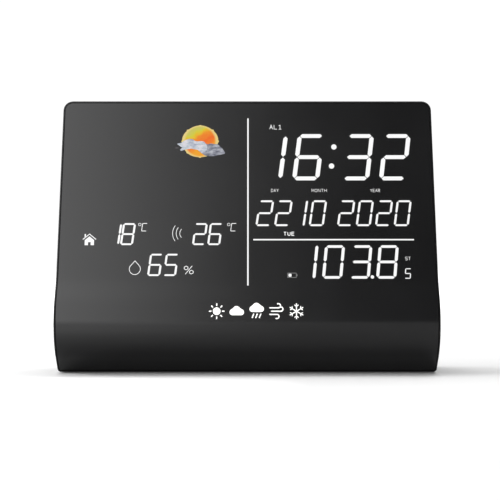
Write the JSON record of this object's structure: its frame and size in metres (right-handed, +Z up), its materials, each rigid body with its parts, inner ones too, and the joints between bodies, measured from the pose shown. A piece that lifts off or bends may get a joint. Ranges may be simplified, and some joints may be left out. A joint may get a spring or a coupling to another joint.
{
  "type": "home weather station",
  "caption": "Desk weather station: leaning wide case with a curved smoked display panel, rear keys, top snooze bar and battery bay.",
  "frame": {"origin": "on the desk, under the centre of the object's box", "axes": "+X to the viewer's right, +Y from the display to the back, +Z up"},
  "size_m": [0.2, 0.059, 0.1462],
  "materials": {
    "smoked_panel": "smoked, semi-gloss",
    "case_black": "black, satin to gloss",
    "cover_black": "black, fine grain",
    "key_black": "black, satin",
    "rubber_black": "matt black",
    "screw_steel": "zinc plated",
    "contact_steel": "nickel plated",
    "display_glass": "dark display glass",
    "guide_clear": "clear acrylic",
    "tray_white": "white",
    "board_green": "green solder mask on glass fibre",
    "chip_black": "black moulding",
    "ribbon_amber": "amber film",
    "copper_wire": "enamelled copper",
    "cell_jacket": "blue printed jacket",
    "cone_paper": "black pulp",
    "sensor_white": "white"
  },
  "bodies": {
    "housing": {"alarm_switch": "chip_black", "antenna_grommet": "rubber_black", "backlight_strip": "board_green", "battery_bridge_left": "contact_steel", "battery_bridge_right": "contact_steel", "battery_cell_1": "cell_jacket", "battery_cell_2": "cell_jacket", "battery_cell_3": "cell_jacket", "battery_contact_minus": "contact_steel", "battery_contact_plus": "contact_steel", "battery_spring_1": "contact_steel", "battery_spring_2": "contact_steel", "battery_spring_3": "contact_steel", "case_screw_1": "screw_steel", "case_screw_2": "screw_steel", "case_screw_3": "screw_steel", "case_screw_4": "screw_steel", "channel_switch": "chip_black", "dc_jack": "chip_black", "display_tray": "tray_white", "down_switch": "chip_black", "foot_front_left": "rubber_black", "foot_front_right": "rubber_black", "foot_rear_left": "rubber_black", "foot_rear_right": "rubber_black", "front_case": "case_black", "front_lens": "smoked_panel", "humidity_sensor": "sensor_white", "io_board": "board_green", "key_board": "board_green", "key_ribbon": "ribbon_amber", "lcd_glass": "display_glass", "lcd_ribbon": "ribbon_amber", "light_guide": "guide_clear", "main_board": "board_green", "mode_switch": "chip_black", "processor_chip": "chip_black", "radio_switch": "chip_black", "rear_cover": "cover_black", "receiver_coil": "copper_wire", "snooze_board": "board_green", "snooze_switch": "chip_black", "speaker_basket": "contact_steel", "speaker_cone": "cone_paper", "speaker_magnet": "chip_black", "switch_body": "contact_steel", "temperature_sensor": "chip_black", "tuner_can": "contact_steel", "up_switch": "chip_black", "usb_shell": "contact_steel", "usb_tongue": "sensor_white"},
    "alarm_key": {"alarm_button": "key_black"},
    "battery_door": {"battery_door": "cover_black"},
    "channel_key": {"channel_button": "key_black"},
    "down_key": {"down_button": "key_black"},
    "mode_key": {"mode_button": "key_black"},
    "radio_key": {"radio_button": "key_black"},
    "snooze": {"snooze_bar": "key_black"},
    "lamp_switch": {"switch_knob": "key_black"},
    "up_key": {"up_button": "key_black"}
  },
  "joints": [
    {"name": "snooze_press", "type": "slide", "parent": "housing", "child": "snooze", "axis": [0, 0, -1], "range_m": [0, 0.0005], "stiffness_N_per_m": 3000, "springref_m": -0.0003},
    {"name": "alarm_press", "type": "slide", "parent": "housing", "child": "alarm_key", "axis": [0, -1, 0], "range_m": [0, 0.0008], "stiffness_N_per_m": 2000, "springref_m": -0.0003},
    {"name": "mode_press", "type": "slide", "parent": "housing", "child": "mode_key", "axis": [0, -1, 0], "range_m": [0, 0.0008], "stiffness_N_per_m": 2000, "springref_m": -0.0003},
    {"name": "up_press", "type": "slide", "parent": "housing", "child": "up_key", "axis": [0, -1, 0], "range_m": [0, 0.0008], "stiffness_N_per_m": 2000, "springref_m": -0.0003},
    {"name": "down_press", "type": "slide", "parent": "housing", "child": "down_key", "axis": [0, -1, 0], "range_m": [0, 0.0008], "stiffness_N_per_m": 2000, "springref_m": -0.0003},
    {"name": "radio_press", "type": "slide", "parent": "housing", "child": "radio_key", "axis": [0, -1, 0], "range_m": [0, 0.0008], "stiffness_N_per_m": 2000, "springref_m": -0.0003},
    {"name": "channel_press", "type": "slide", "parent": "housing", "child": "channel_key", "axis": [0, -1, 0], "range_m": [0, 0.0008], "stiffness_N_per_m": 2000, "springref_m": -0.0003},
    {"name": "lamp_switch_slide", "type": "slide", "parent": "housing", "child": "lamp_switch", "axis": [-1, 0, 0], "range_m": [0, 0.005]},
    {"name": "battery_door_tilt", "type": "hinge", "parent": "housing", "child": "battery_door", "pos_m": [-0.038, 0.0285, 0.008], "axis": [-1, 0, 0], "range_deg": [0, 70]}
  ]
}
